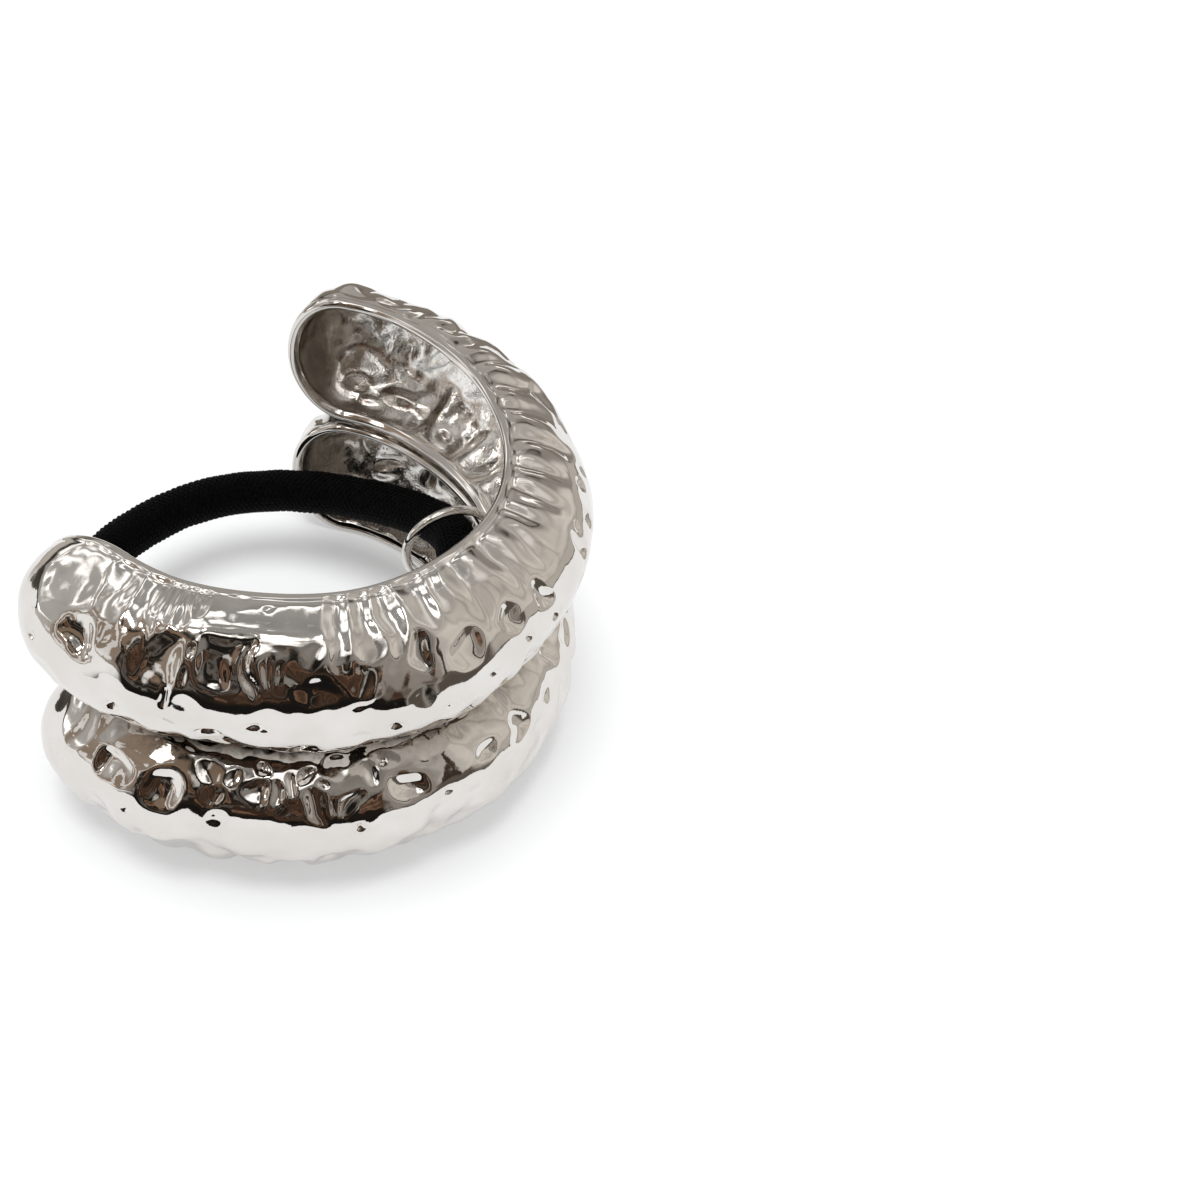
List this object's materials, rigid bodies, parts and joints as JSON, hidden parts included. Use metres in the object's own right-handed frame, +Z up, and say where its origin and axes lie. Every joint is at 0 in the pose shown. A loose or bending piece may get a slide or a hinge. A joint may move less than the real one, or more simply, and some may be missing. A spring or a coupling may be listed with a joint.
{
  "type": "ponytail cuff",
  "caption": "Hammered polished-metal ponytail cuff: two puffed half-round bands joined along a seam, open at one side, with a round black hair elastic held in soldered wire rings.",
  "frame": {"origin": "middle of the metal cuff's box, on the surface that it lies on", "axes": "+Z up and along the way the hair passes, -Y towards the closed front, +Y towards the gap between the rounded ends"},
  "size_m": [0.0606, 0.0535, 0.0336],
  "materials": {
    "polished_metal": "bright polished plating over hammered cast metal, satin on the inside",
    "black_elastic": "matt braided textile over a rubber core"
  },
  "bodies": {
    "root": {"cuff": "polished_metal", "elastic": "black_elastic"}
  },
  "joints": []
}
